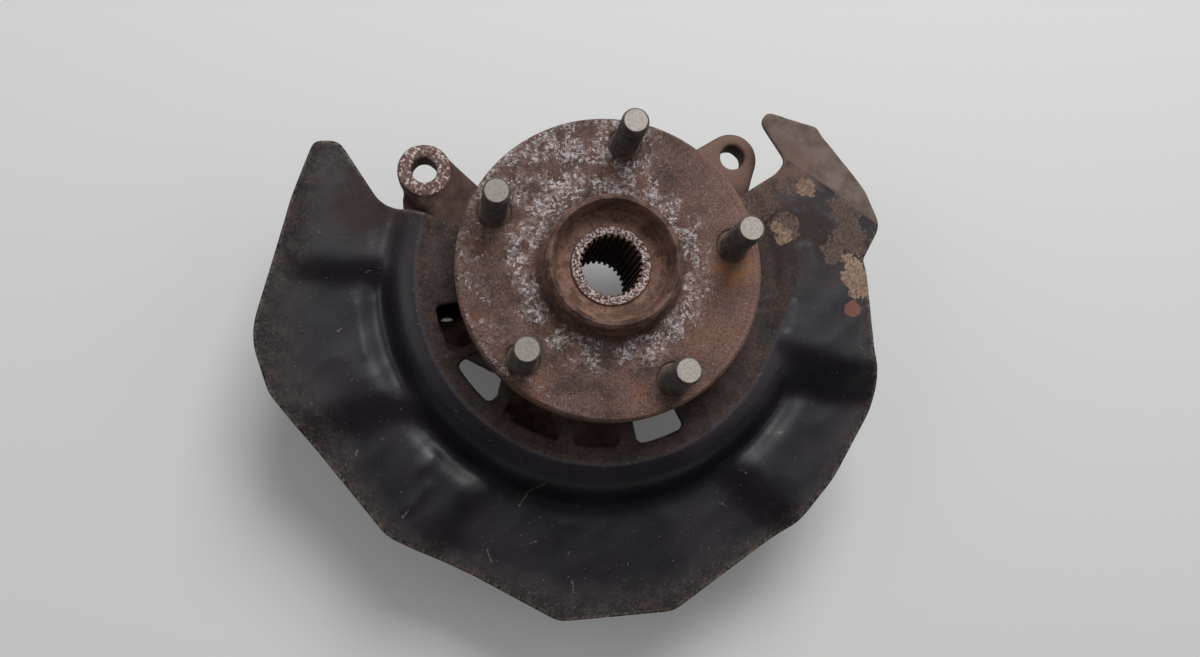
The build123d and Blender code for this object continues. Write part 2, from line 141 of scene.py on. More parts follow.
# Webs that fill the casting out: top, bottom, then the circles each is drawn round, as x, y, radius
WEBS_mm = (
    (-49.0, -58.0, ((-86.5, 49.0, 5.0), (-60.0, 24.0, 30.0))),
    (-39.0, -80.0, ((-12.0, -38.0, 22.0), (-9.0, -66.0, 17.0))),
    (-41.0, -74.0, ((-44.0, -53.0, 8.0), (-36.0, -45.0, 14.0), (-20.0, -40.0, 20.0))),
    (-41.0, -62.0, ((-78.0, -18.5, 3.5), (-66.0, -23.5, 3.5), (-58.0, -18.0, 6.0))),
)
# A step at the inboard end of the sensor's bore: top, bottom, outer circle, hole
BORE_STEP_mm = (-84.0, -96.0, (-74.0, -3.5, 10.5), (-74.0, -7.6, 4.6))
# The casting's surface: its grain, its lumps and dimples, and where it stays machined
CAST_GRAIN_mm = 1.5
CAST_SOFTEN, CAST_SOFTEN_ROUNDS = 0.5, 3
CAST_LUMPS_mm, LUMPS_PER_METRE = 0.26, 260.0
CAST_DIMPLES_mm, DIMPLES_PER_METRE = 0.30, 75.0
CAST_SWELL_mm = 0.05
MACHINED_BORE = (0.0435, 0.0450)
EAR_Y, EAR_Z = (0.044, 0.048), (-0.0560, -0.0545)
EAR_SHARE = 0.15

# Scratches in the shield's paint, from and to, as angle in degrees and radius in millimetres
SCRATCHES_deg_mm = (
    ((226, 139), (226, 143)), ((243, 136), (244.5, 140)), ((251, 127), (252, 125.5)),
    ((246, 112), (247, 104)), ((247, 104), (250, 99)), ((260.5, 141), (261, 146)),
    ((295, 120), (296, 123)), ((303, 112), (303.5, 115)), ((316, 112), (317, 114)),
    ((211, 137.5), (211.5, 139.5)), ((187, 123), (187.5, 125)), ((174, 108), (174.5, 110)),
)
SCRATCH_WIDTH = 0.0006
# Spots of bare rust on the right wing: place and reach
TAN_SPOTS = (
    ((0.1035, 0.0390, -0.025), 0.0072), ((0.0895, 0.0150, -0.025), 0.0058),
    ((0.0865, 0.0200, -0.025), 0.0046), ((0.1225, -0.0002, -0.026), 0.0092),
    ((0.1252, -0.0100, -0.026), 0.0125), ((0.1190, -0.0075, -0.026), 0.0072),
)
BROWN_SPOTS = (
    ((0.1235, 0.0280, -0.026), 0.0150), ((0.1225, 0.0150, -0.026), 0.0170),
    ((0.1120, 0.0060, -0.026), 0.0090), ((0.0790, 0.0330, -0.026), 0.0150),
    ((0.0900, 0.0200, -0.026), 0.0120), ((0.0960, 0.0430, -0.026), 0.0120),
)
RED_SPOT = ((0.1193, -0.0222, -0.025), 0.0065)

STUD_COUNT = 5
STUD_PITCH_R = 0.11430 / 2
STUD_FIRST_ANGLE = radians(78.7)
STUD_R = 0.0060
STUD_SIDES = 40
STUD_NECK_R = STUD_R - 0.0006
THREAD_DEPTH = 0.00078
THREAD_PITCH = 0.0015
THREAD_START, THREAD_END = 0.0010, 0.0320
ROWS_PER_PITCH = 8
CHAMFER, CHAMFER_RUN = 0.0011, 0.0012
STUD_SEAT_R, STUD_HEAD_R = 0.00715, 0.0094
HEAD_TOP, HEAD_THICK, HEAD_EDGE = -0.0125, 0.0035, 0.0008
SHARP_EDGE_DEG = 40


# ---------------------------------------------------------------- shader maths
class Field:
    """A value in a material that can be added, multiplied and compared like a number."""

    def __init__(self, paint, socket):
        self.paint = paint
        self.socket = socket

    def math(self, operation, *others):
        values = {index: value for index, value in enumerate((self,) + others)}
        return self.paint.node("ShaderNodeMath", {"operation": operation}, values)

    def __add__(self, other):
        return self.math("ADD", other)

    def __radd__(self, other):
        return self.math("ADD", other)

    def __sub__(self, other):
        return self.math("SUBTRACT", other)

    def __rsub__(self, other):
        return self.paint.node("ShaderNodeMath", {"operation": "SUBTRACT"}, {0: other, 1: self})

    def __mul__(self, other):
        return self.math("MULTIPLY", other)

    def __rmul__(self, other):
        return self.math("MULTIPLY", other)

    def __truediv__(self, other):
        return self.math("DIVIDE", other)

    def __pow__(self, other):
        return self.math("POWER", other)

    def over(self, other):
        return self.math("MAXIMUM", other)

    def under(self, other):
        return self.math("MINIMUM", other)

    def ramp(self, low, high):
        """0 below low, 1 above high, smooth between; falls where low is above high."""
        values = {"Value": self, "From Min": low, "From Max": high}
        return self.paint.node("ShaderNodeMapRange", {"interpolation_type": "SMOOTHSTEP"}, values, "Result")


class Paint:
    """One material with a Principled shader, built from Object coordinates in metres."""

    def __init__(self, name, **sockets):
        self.material = bpy.data.materials.new(name)
        self.material.use_nodes = True
        self.tree = self.material.node_tree
        self.shader = self.tree.nodes["Principled BSDF"]
        for label, value in sockets.items():
            self.shader.inputs[label.replace("_", " ")].default_value = value
        self.place = self.node("ShaderNodeTexCoord", {}, {}, "Object")
        self.bump_chain = None

    def node(self, kind, settings, values, output=0):
        made = self.tree.nodes.new(kind)
        for label, value in settings.items():
            setattr(made, label, value)
        for label, value in values.items():
            if isinstance(value, Field):
                self.tree.links.new(value.socket, made.inputs[label])
            else:
                made.inputs[label].default_value = value
        return Field(self, made.outputs[output])

    def axis(self, index):
        return self.node("ShaderNodeSeparateXYZ", {}, {"Vector": self.place}, index)

    def noise(self, size, detail=4.0, roughness=0.55, offset=(0, 0, 0)):
        shifted = self.node("ShaderNodeMapping", {}, {"Vector": self.place, "Location": offset})
        values = {"Vector": shifted, "Scale": 1 / size, "Detail": detail, "Roughness": roughness}
        return self.node("ShaderNodeTexNoise", {}, values, "Fac")

    def attribute(self, name):
        return self.node("ShaderNodeAttribute", {"attribute_name": name}, {}, "Fac")

    def radius(self):
        x, y = self.axis(0), self.axis(1)
        return (x * x + y * y) ** 0.5

    def near(self, spot, reach):
        """1 at a spot, falling smoothly to 0 at reach."""
        values = {0: self.place, 1: spot}
        distance = self.node("ShaderNodeVectorMath", {"operation": "DISTANCE"}, values, "Value")
        return distance.ramp(reach, reach * 0.25)

    def spots(self, places, roughener):
        """Ragged patches round several places."""
        field = None
        for spot, reach in places:
            one = self.near(spot, reach)
            field = field.over(one) if field else one
        return (field + roughener).ramp(0.46, 0.60) * field.ramp(0.0, 0.08)

    def streak(self, start, end, width):
        """1 along a short line over the ground, 0 at width from it."""
        vector = "ShaderNodeVectorMath"
        run = Vector(end) - Vector(start)
        ground = self.node(vector, {"operation": "MULTIPLY"}, {0: self.place, 1: (1, 1, 0)})
        offset = self.node(vector, {"operation": "SUBTRACT"}, {0: ground, 1: start})
        unit = run / run.length_squared
        share = self.node(vector, {"operation": "DOT_PRODUCT"}, {0: offset, 1: unit}, "Value")
        along = share.over(0.0).under(1.0)
        foot = self.node(vector, {"operation": "SCALE"}, {0: tuple(run), "Scale": along})
        gap = self.node(vector, {"operation": "DISTANCE"}, {0: offset, 1: foot}, "Value")
        return gap.ramp(width, width * 0.3)

    def mix(self, factor, first, second):
        """One colour where factor is 0, the other where it is 1."""
        first, second = (c if isinstance(c, Field) else (*c, 1.0) for c in (first, second))
        settings = {"data_type": "RGBA", "blend_type": "MIX"}
        return self.node("ShaderNodeMix", settings, {0: factor, 6: first, 7: second}, 2)

    def colour(self, value):
        self.set("Base Color", value)

    def set(self, label, value):
        self.tree.links.new(value.socket, self.shader.inputs[label])

    def bump(self, height, distance, strength=1.0):
        values = {"Height": height, "Distance": distance, "Strength": strength}
        if self.bump_chain:
            values["Normal"] = self.bump_chain
        self.bump_chain = self.node("ShaderNodeBump", {}, values)
        self.set("Normal", self.bump_chain)


# ---------------------------------------------------------------- finishes
DARK_RUST = (0.052, 0.029, 0.024)
MID_RUST = (0.128, 0.072, 0.057)
WARM_RUST = (0.165, 0.080, 0.055)
ORANGE_RUST = (0.230, 0.105, 0.050)
PALE_SCALE = (0.480, 0.430, 0.440)
BLACK_PAINT = (0.0045, 0.0028, 0.0070)
GREY_PAINT = (0.0105, 0.0075, 0.0130)
DUST = (0.052, 0.034, 0.028)
RUST_PIT = (0.026, 0.015, 0.013)


def hub_rust():
    paint = Paint("hub_rust")
    paint.shader.inputs["Specular IOR Level"].default_value = 0.2
    x, y, z = (paint.axis(index) for index in range(3))
    radius = paint.radius()
    broad = paint.noise(0.030, 3.0)
    cloud = paint.noise(0.009, 5.0, 0.6, (0.3, 0.1, 0.0))
    fine = paint.noise(0.0016, 3.0, 0.6, (0.7, 0.2, 0.5))
    rings = {"W": radius, "Scale": 420.0}
    turned = paint.node("ShaderNodeTexNoise", {"noise_dimensions": "1D"}, rings, "Fac")
    colour = paint.mix(cloud.ramp(0.30, 0.68), DARK_RUST, MID_RUST)
    warm = broad.ramp(0.42, 0.64) * (0.45 + 0.55 * y.ramp(0.02, -0.05))
    colour = paint.mix(warm, colour, WARM_RUST)
    # painted light: the flange is lighter towards the right, where the key lamp falls
    colour = paint.mix(x.ramp(0.030, 0.062) * 0.5, colour, (0.230, 0.125, 0.095))
    colour = paint.mix(turned.ramp(0.45, 0.75) * 0.25, colour, DARK_RUST)
    grain = paint.noise(0.0010, 2.0, 0.7, (0.4, 0.6, 0.8))
    colour = paint.mix(grain.ramp(0.50, 0.34) * 0.60, colour, RUST_PIT)
    colour = paint.mix(grain.ramp(0.52, 0.70) * 0.40, colour, (0.240, 0.175, 0.155))
    # painted shade on the pilot's flank and on the flange round its root, where less light falls, then worn
    # scale as many small pale specks
    shade = radius.ramp(0.0360, 0.0330)
    colour = paint.mix(shade * 0.5, colour, (0.042, 0.026, 0.022))
    ring = radius.ramp(0.0325, 0.0350) * radius.ramp(0.0500, 0.0400)
    left = radius.ramp(0.050, 0.064) * x.ramp(-0.010, -0.050)
    upper = paint.near((-0.020, 0.045, 0.0), 0.055)
    patches = paint.noise(0.010, 4.0, 0.6, (0.9, 0.4, 0.2)).ramp(0.36, 0.60)
    top = paint.near((0.004, 0.062, 0.0), 0.030)
    density = ((ring * 1.3 + left * 0.50 + upper * 0.85 + top * 0.8 + 0.20) * patches).under(1.0)
    specks = paint.noise(0.0016, 3.0, 0.8, (0.1, 0.8, 0.3))
    flat = z.ramp(-0.0015, -0.0004)
    worn = (specks - (0.68 - density * 0.150)).ramp(0.0, 0.030) * flat
    colour = paint.mix(worn * 0.85, colour, PALE_SCALE)
    haze = density * flat * fine.ramp(0.45, 0.60)
    colour = paint.mix(haze * 0.30, colour, PALE_SCALE)
    orange = paint.near((0.0560, -0.0035, 0.0), 0.015) * cloud.ramp(0.40, 0.62)
    colour = paint.mix(orange, colour, ORANGE_RUST)
    # dark seats round the studs
    for number in range(STUD_COUNT):
        angle = STUD_FIRST_ANGLE + 2 * pi * number / STUD_COUNT
        seat = paint.near((STUD_PITCH_R * cos(angle), STUD_PITCH_R * sin(angle), 0.0), 0.0125)
        colour = paint.mix(seat * 0.75, colour, (0.040, 0.024, 0.019))
    # the recess inside the pilot, its brim, and the flat seat round the spline
    recess = z.ramp(0.0004, 0.0012) * radius.ramp(0.0320, 0.0300)
    stains = paint.noise(0.0060, 4.0, 0.65, (0.2, 0.9, 0.6)).ramp(0.38, 0.60)
    recess_rust = paint.mix(stains, (0.115, 0.062, 0.045), (0.250, 0.140, 0.100))
    colour = paint.mix(recess * 0.85, colour, recess_rust)
    brim = z.ramp(0.0122, 0.0130)
    brim_rust = paint.mix(stains, (0.050, 0.029, 0.024), (0.150, 0.088, 0.068))
    colour = paint.mix(brim * 0.8, colour, brim_rust)
    pits = grain.ramp(0.50, 0.36) * (recess + brim).under(1.0)
    colour = paint.mix(pits * 0.5, colour, RUST_PIT)
    seat = radius.ramp(0.0180, 0.0176) * radius.ramp(0.0134, 0.0140) * z.ramp(0.0018, 0.0024)
    seat_specks = paint.noise(0.0011, 3.0, 0.8, (0.6, 0.6, 0.1)).ramp(0.49, 0.56)
    colour = paint.mix(seat * 0.8, colour, (0.060, 0.030, 0.026))
    colour = paint.mix(seat * seat_specks * 0.9, colour, (0.56, 0.47, 0.45))
    paint.colour(colour)
    paint.set("Roughness", 0.82 - worn * 0.25 - fine * 0.12)
    paint.bump(cloud, 0.0006, 0.5)
    paint.bump(fine, 0.0003, 0.6)
    paint.bump(worn, 0.00012, 0.6)
    return paint.material


def casting_rust():
    paint = Paint("casting_rust")
    paint.shader.inputs["Specular IOR Level"].default_value = 0.3
    broad = paint.noise(0.022, 4.0)
    cloud = paint.noise(0.006, 5.0, 0.62, (0.2, 0.5, 0.1))
    fine = paint.noise(0.0012, 3.0, 0.65, (0.5, 0.1, 0.9))
    colour = paint.mix(cloud.ramp(0.3, 0.68), (0.036, 0.019, 0.016), (0.080, 0.043, 0.034))
    colour = paint.mix(broad.ramp(0.48, 0.7) * 0.6, colour, (0.100, 0.060, 0.046))
    # the machined ears: brown on the right, pale specks and pits on the left
    ears = paint.axis(1).ramp(0.040, 0.050) * paint.axis(2).ramp(-0.0430, -0.0405)
    left = ears * paint.near((-0.080, 0.0605, -0.040), 0.0150).ramp(0.10, 0.16)
    right = ears * paint.axis(0).ramp(0.030, 0.045)
    colour = paint.mix(right * 0.9, colour, (0.170, 0.100, 0.076))
    colour = paint.mix(left * 0.9, colour, (0.150, 0.084, 0.074))
    specks = paint.noise(0.0019, 3.0, 0.75, (0.3, 0.3, 0.3)).ramp(0.53, 0.57)
    colour = paint.mix(left * specks * 0.95, colour, (0.56, 0.46, 0.43))
    pits = paint.noise(0.0015, 2.0, 0.75, (0.8, 0.3, 0.6)).ramp(0.46, 0.40)
    colour = paint.mix(left * pits * 0.7, colour, (0.050, 0.026, 0.024))
    colour = paint.mix(fine.ramp(0.6, 0.75) * 0.3, colour, DUST)
    paint.colour(colour)
    paint.set("Roughness", 0.9 - fine * 0.15)
    paint.bump(cloud, 0.0010, 0.5)
    paint.bump(fine, 0.0004, 0.7)
    return paint.material


def scratches(paint):
    marks = None
    for scratch in SCRATCHES_deg_mm:
        ends = [(r * MM * cos(radians(a)), r * MM * sin(radians(a)), 0.0) for a, r in scratch]
        one = paint.streak(*ends, SCRATCH_WIDTH)
        marks = marks.over(one) if marks else one
    return marks


def shield_paint():
    paint = Paint("shield_paint")
    paint.shader.inputs["Specular IOR Level"].default_value = 0.43
    x, y = paint.axis(0), paint.axis(1)
    radius = paint.radius()
    rim = paint.attribute("rim_distance")
    broad = paint.noise(0.035, 4.0)
    cloud = paint.noise(0.010, 5.0, 0.6, (0.4, 0.7, 0.2))
    fine = paint.noise(0.0014, 4.0, 0.65, (0.8, 0.1, 0.6))
    colour = paint.mix(broad.ramp(0.35, 0.65), BLACK_PAINT, GREY_PAINT)
    # rust and dust creep in from the rim, furthest at the left and the bottom
    ragged = rim + (cloud - 0.5) * 0.022 + (fine - 0.5) * 0.014
    reach = 0.006 + 0.014 * x.ramp(-0.09, -0.15) + 0.010 * y.ramp(-0.11, -0.155)
    margin = (1.0 - (ragged / reach).ramp(-0.2, 1.7)) * (0.55 + 0.45 * cloud.ramp(0.35, 0.6))
    mottle = paint.noise(0.0060, 4.0, 0.7, (0.7, 0.3, 0.9))
    speckle = mottle * 0.6 + fine * 0.4
    margin_dust = paint.mix(speckle.ramp(0.44, 0.60), (0.008, 0.006, 0.006), DUST)
    colour = paint.mix(margin, colour, margin_dust)
    edge = rim.ramp(0.0020, 0.0005) * fine.ramp(0.40, 0.60)
    colour = paint.mix(edge * 0.8, colour, (0.130, 0.090, 0.072))
    # the ring is browner, and reaches further out beside the right wing
    right = paint.near((0.100, 0.005, -0.026), 0.045)
    inner = (radius - right * 0.007).ramp(0.0885, 0.0850) * (0.75 + 0.25 * cloud.ramp(0.4, 0.6))
    ring_rust = paint.mix(speckle.ramp(0.38, 0.62), (0.013, 0.008, 0.007), (0.060, 0.032, 0.025))
    colour = paint.mix(inner, colour, ring_rust)
    specks = paint.noise(0.0012, 3.0, 0.7, (0.2, 0.9, 0.4)).ramp(0.61, 0.67)
    colour = paint.mix(specks * (margin + inner * 0.8).under(1.0) * 0.6, colour, (0.170, 0.130, 0.110))
    stray = paint.noise(0.0016, 2.0, 0.8, (0.5, 0.2, 0.7)).ramp(0.69, 0.72)
    colour = paint.mix(stray * 0.6, colour, (0.200, 0.150, 0.120))
    # bare rust on the right wing and its flap
    flap = (x * 0.590 + y * 0.807).ramp(0.0985, 0.1000) * x.ramp(0.080, 0.088)
    flap_rust = paint.mix(cloud.ramp(0.35, 0.65), (0.095, 0.062, 0.048), (0.160, 0.118, 0.100))
    colour = paint.mix(flap * 0.92, colour, flap_rust)
    brown = paint.near((0.1020, 0.0150, -0.026), 0.034) * cloud.ramp(0.25, 0.50)
    colour = paint.mix(brown * 0.9, colour, (0.026, 0.014, 0.012))
    rough = (paint.noise(0.0045, 4.0, 0.7, (0.1, 0.3, 0.8)) - 0.5) * 2.6 + (fine - 0.5) * 0.8
    stain = paint.spots(BROWN_SPOTS, rough)
    grit = fine.ramp(0.38, 0.62)
    stain_rust = paint.mix(grit, (0.062, 0.036, 0.028), (0.150, 0.102, 0.078))
    colour = paint.mix(stain * 0.7, colour, stain_rust)
    bare = paint.spots(TAN_SPOTS, rough)
    bare_rust = paint.mix(grit, (0.130, 0.076, 0.052), (0.270, 0.185, 0.132))
    colour = paint.mix(bare, colour, bare_rust)
    pad = paint.near((-0.1080, 0.0400, -0.031), 0.026) * cloud.ramp(0.30, 0.50)
    colour = paint.mix(pad * 0.8, colour, (0.030, 0.016, 0.013))
    red = paint.spots([RED_SPOT], rough * 0.4)
    colour = paint.mix(red, colour, (0.140, 0.046, 0.034))
    scratch = scratches(paint) * fine.ramp(0.40, 0.55)
    colour = paint.mix(scratch * 0.5, colour, (0.200, 0.160, 0.140))
    notch = paint.near((0.0930, 0.0480, -0.026), 0.024) * cloud.ramp(0.35, 0.60)
    colour = paint.mix(notch * 0.85, colour, (0.110, 0.060, 0.042))
    paint.colour(colour)
    rusty = (margin + inner + flap + bare + stain + notch + brown + pad).under(1.0)
    paint.set("Roughness", 0.40 + rusty * 0.42 + (broad - 0.5) * 0.25)
    paint.bump(cloud, 0.0004, 0.30)
    paint.bump(fine * (rusty * 0.85 + 0.15), 0.0003, 0.5)
    return paint.material


def thread_steel():
    paint = Paint("thread_steel")
    z = paint.axis(2)
    cloud = paint.noise(0.004, 4.0)
    fine = paint.noise(0.0007, 3.0, 0.7)
    tip = z.ramp(0.0317, 0.0319)
    colour = paint.mix(cloud.ramp(0.35, 0.65), (0.050, 0.036, 0.032), (0.105, 0.082, 0.073))
    colour = paint.mix(fine.ramp(0.5, 0.7) * 0.4, colour, (0.18, 0.155, 0.14))
    bright = paint.mix(fine.ramp(0.35, 0.65), (0.250, 0.215, 0.185), (0.420, 0.380, 0.345))
    # the two left studs' ends are duller
    upper = paint.near((-0.0500, 0.0280, 0.032), 0.012)
    lower = paint.near((-0.0420, -0.0388, 0.032), 0.012)
    ends = paint.mix(upper.over(lower) * 0.4, bright, (0.10, 0.08, 0.07))
    colour = paint.mix(tip, colour, ends)
    base = z.ramp(0.005, -0.001) * cloud.ramp(0.3, 0.6)
    colour = paint.mix(base * 0.7, colour, (0.11, 0.058, 0.038))
    paint.colour(colour)
    paint.set("Metallic", 0.30 - tip * 0.25)
    paint.set("Roughness", 0.60 - tip * 0.10 + fine * 0.1)
    paint.bump(fine, 0.00015, 0.5)
    return paint.material


def plain_steel(name, light, dark, roughness, metallic):
    paint = Paint(name, Metallic=metallic)
    cloud = paint.noise(0.006, 4.0)
    fine = paint.noise(0.0009, 3.0)
    paint.colour(paint.mix(cloud.ramp(0.35, 0.65), dark, light))
    paint.set("Roughness", roughness + (fine - 0.5) * 0.2)
    paint.bump(fine, 0.0001, 0.3)
    return paint.material


# ---------------------------------------------------------------- mesh helpers
def new_object(name, vertices, faces):
    mesh = bpy.data.meshes.new(name)
    mesh.from_pydata([tuple(v) for v in vertices], [], [tuple(f) for f in faces])
    mesh.update()
    made = bpy.data.objects.new(name, mesh)
    bpy.context.scene.collection.objects.link(made)
    return made


def smooth(thing):
    thing.data.polygons.foreach_set("use_smooth", [True] * len(thing.data.polygons))


def finished(thing):
    """The evaluated object as a plain mesh with no modifiers."""
    graph = bpy.context.evaluated_depsgraph_get()
    mesh = bpy.data.meshes.new_from_object(thing.evaluated_get(graph))
    thing.modifiers.clear()
    thing.data = mesh
    return thing


def coordinates(mesh):
    values = np.empty(len(mesh.vertices) * 3)
    mesh.vertices.foreach_get("co", values)
    return values.reshape(-1, 3)


# ---------------------------------------------------------------- dust shield
def merged_copy(node):
    """A CAD node's mesh with its shared corners joined."""
    shape = bmesh.new()
    shape.from_mesh(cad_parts[node].data)
    bmesh.ops.remove_doubles(shape, verts=shape.verts, dist=1e-6)
    return shape


def outboard_skin():
    """The pressed sheet's outboard face, cut free of its edges and its underside."""
    skin = merged_copy("dust_shield")
    skin.normal_update()
    hidden = [face for face in skin.faces if face.normal.z < OUTBOARD_TILT]
    bmesh.ops.delete(skin, geom=hidden, context="FACES")
    return skin


def hole_paths(skin):
    """The skin's closed edges without its outline, the widest of them, in millimetres."""
    following = {}
    for edge in skin.edges:
        if edge.is_boundary:
            loop = edge.link_loops[0]
            following[loop.vert] = loop.link_loop_next.vert
    paths = []
    while following:
        corner = next(iter(following))
        path = []
        while corner in following:
            path.append(corner.co.xy / MM)
            corner = following.pop(corner)
        paths.append(soft_path(path))
    return sorted(paths, key=lambda path: -np.ptp(path[:, 0]))[1:]


def rounded(corners):
    """A closed path whose corners are arcs."""
    path = []
    for index, (x, y, radius) in enumerate(corners):
        corner = Vector((x, y))
        back = (Vector(corners[index - 1][:2]) - corner).normalized()
        ahead = (Vector(corners[(index + 1) % len(corners)][:2]) - corner).normalized()
        half = back.angle(ahead) / 2
        middle = corner + (back + ahead).normalized() * radius / sin(half)
        reach = radius / tan(half)
        start, end = corner + back * reach - middle, corner + ahead * reach - middle
        turn = start.angle_signed(end)
        pieces = max(2, round(abs(turn) * radius / RIM_SPACING_mm))
        first = atan2(start.y, start.x)
        for number in range(pieces + 1):
            angle = first - turn * number / pieces
            path.append(middle + Vector((cos(angle), sin(angle))) * radius)
    return path


def shield_outline():
    """The rounded corners, closed by the ring's own edge across the top."""
    path = [point for point in rounded(OUTLINE_mm) if point.length > RING_R_mm + 0.5]
    first, last = (atan2(point.y, point.x) for point in (path[0], path[-1]))
    pieces = round((first - last) * RING_R_mm / RIM_SPACING_mm)
    for number in range(pieces + 1):
        angle = last + (first - last) * number / pieces
        path.append(Vector((cos(angle), sin(angle))) * RING_R_mm)
    return soft_path(path)


def soft_path(path):
    """The same path in short even pieces, with its facets smoothed away."""
    fine = []
    for index, point in enumerate(path):
        following = path[(index + 1) % len(path)]
        pieces = max(1, round((following - point).length / RIM_SPACING_mm))
        fine += [point.lerp(following, part / pieces) for part in range(pieces)]
    fine = np.array([tuple(point) for point in fine])
    for _ in range(2):
        fine = fine / 2 + (np.roll(fine, 1, axis=0) + np.roll(fine, -1, axis=0)) / 4
    return fine


def inside(points, path):
    """Which points lie inside a closed path."""
    result = np.zeros(len(points), bool)
    for (x0, y0), (x1, y1) in zip(path, np.roll(path, -1, axis=0)):
        crosses = (y0 > points[:, 1]) != (y1 > points[:, 1])
        if y1 != y0:
            result ^= crosses & (points[:, 0] < (x1 - x0) * (points[:, 1] - y0) / (y1 - y0) + x0)
    return result


def line_distance(points, start, end):
    run = np.subtract(end, start)
    share = np.clip(((points - start) @ run) / max(run @ run, 1e-9), 0, 1)
    return np.hypot(*(points - start - share[:, None] * run).T)


def path_distance(points, path):
    """Distance from each point to a closed path."""
    nearest = np.full(len(points), 1e9)
    for start, end in zip(path, np.roll(path, -1, axis=0)):
        nearest = np.minimum(nearest, line_distance(points, start, end))
    return nearest


def step(value, low, high):
    share = np.clip((value - low) / (high - low), 0, 1)
    return share * share * (3 - 2 * share)


def shield_plan(outline, holes):
    """Flat triangles that fill the outline and leave its holes open."""
    low, high = outline.min(0), outline.max(0)
    grid = []
    for number, y in enumerate(np.arange(low[1], high[1], SKIN_SPACING_mm * ROW_SHARE)):
        xs = np.arange(low[0] + (number % 2) * SKIN_SPACING_mm / 2, high[0], SKIN_SPACING_mm)
        grid.append(np.stack([xs, np.full(len(xs), y)], 1))
    grid = np.concatenate(grid)
    points, edges = [], []
    for path in [outline] + holes:
        grid = grid[inside(grid, path) == (path is outline)]
        grid = grid[path_distance(grid, path) > SKIN_SPACING_mm * 0.5]
        first, count = len(points), len(path)
        points += list(path)
        edges += [(first + i, first + (i + 1) % count) for i in range(count)]
    points = [Vector(point) for point in points + list(grid)]
    flat = geometry.delaunay_2d_cdt(points, edges, [], 0, 1e-5)
    plan, triangles = (np.array([tuple(row) for row in rows]) for rows in (flat[0], flat[2]))
    middles = plan[triangles].mean(1)
    keep = inside(middles, outline)
    for hole in holes:
        keep &= ~inside(middles, hole)
    return plan, triangles[keep]


def form_height(plan):
    """Height of the sheet before its creases are rounded, in millimetres."""
    radius = np.hypot(*plan.T)
    height = np.interp(radius, *np.transpose(RINGS_mm))
    for top, fall, least, corners in PRESSED_mm:
        outside = np.where(inside(plan, corners), 0.0, path_distance(plan, corners))
        height = np.maximum(height, top - fall * np.maximum(outside, least - radius))
    flap = FLAP_PLACE_mm[2] - (plan - FLAP_PLACE_mm[:2]) @ FLAP_FALL
    return np.where(inside(plan, FLAP_mm), np.maximum(height, flap), height)


def relaxed(height, triangles, rounds):
    """The heights with each crease rounded a little, as a press leaves it."""
    sides = np.concatenate([triangles[:, [0, 1]], triangles[:, [1, 2]], triangles[:, [2, 0]]])
    sides = np.concatenate([sides, sides[:, ::-1]])
    count = np.bincount(sides[:, 0], minlength=len(height))
    for _ in range(rounds):
        total = np.bincount(sides[:, 0], height[sides[:, 1]], len(height))
        height = height / 2 + total / np.maximum(count, 1) / 2
    return height


def pressed_height(plan, triangles):
    """The sheet's height: crisp near the ring, soft where it was drawn deep."""
    crisp = relaxed(form_height(plan), triangles, LIP_ROUNDS)
    soft = relaxed(crisp, triangles, CREASE_ROUNDS)
    return crisp + (soft - crisp) * step(np.hypot(*plan.T), *LIP_END_mm) + dents(plan)


def dents(plan):
    """Small creases and a slight unevenness of the sheet, in millimetres."""
    x, y = plan.T
    change = np.zeros(len(plan))
    for start, end, width, height in CREASES_mm:
        change += height * np.exp(-(line_distance(plan, start, end) / width) ** 2)
    waves = np.zeros(len(plan))
    for height, first, second in WAVES_mm:
        waves += height * np.sin(plan @ first[:2] + first[2]) * np.sin(plan @ second[:2] + second[2])
    return change - np.abs(waves) * step(np.hypot(x, y), *WAVES_FROM_mm)


def make_shield():
    skin = outboard_skin()
    outline = shield_outline()
    plan, triangles = shield_plan(outline, hole_paths(skin))
    height = pressed_height(plan, triangles)
    skin.free()
    count = len(plan)
    sides = [side for a, b, c in triangles.tolist() for side in ((a, b), (b, c), (c, a))]
    both = set(sides)
    walls = [(b, a, a + count, b + count) for a, b in sides if (b, a) not in both]
    under = [(c + count, b + count, a + count) for a, b, c in triangles]
    top = np.column_stack([plan, height])
    bottom = np.column_stack([plan, height - SHEET_mm])
    shield = new_object("shield_sheet", np.concatenate([top, bottom]) * MM, [*triangles, *under, *walls])
    rim = path_distance(plan, outline) * MM
    layer = shield.data.attributes.new("rim_distance", "FLOAT", "POINT")
    layer.data.foreach_set("value", np.concatenate([rim, rim]))
    flags = [index < len(triangles) * 2 for index in range(len(shield.data.polygons))]
    shield.data.polygons.foreach_set("use_smooth", flags)
    return shield


# ---------------------------------------------------------------- casting
def circle_points(x, y, radius, count=32):
    return [(x + radius * cos(2 * pi * i / count), y + radius * sin(2 * pi * i / count)) for i in range(count)]


def add_prism(shape, top, bottom, corners):
    low, high = (
        [shape.verts.new((x * MM, y * MM, z * MM)) for x, y in corners] for z in (bottom, top)
    )
    for index in range(len(corners)):
        following = (index + 1) % len(corners)
        shape.faces.new((low[index], low[following], high[following], high[index]))
    shape.faces.new(low[::-1])
    shape.faces.new(high)


def add_webs(shape):
    for top, bottom, circles in WEBS_mm:
        points = [point for circle in circles for point in circle_points(*circle)]
        add_prism(shape, top, bottom, [points[index] for index in geometry.convex_hull_2d(points)])
    top, bottom, outer, hole = BORE_STEP_mm
    outside, inner = circle_points(*outer), circle_points(*hole)
    for index in range(len(outside)):
        following = (index + 1) % len(outside)
        corners = [inner[index], outside[index], outside[following], inner[following]]
        add_prism(shape, top, bottom, corners)


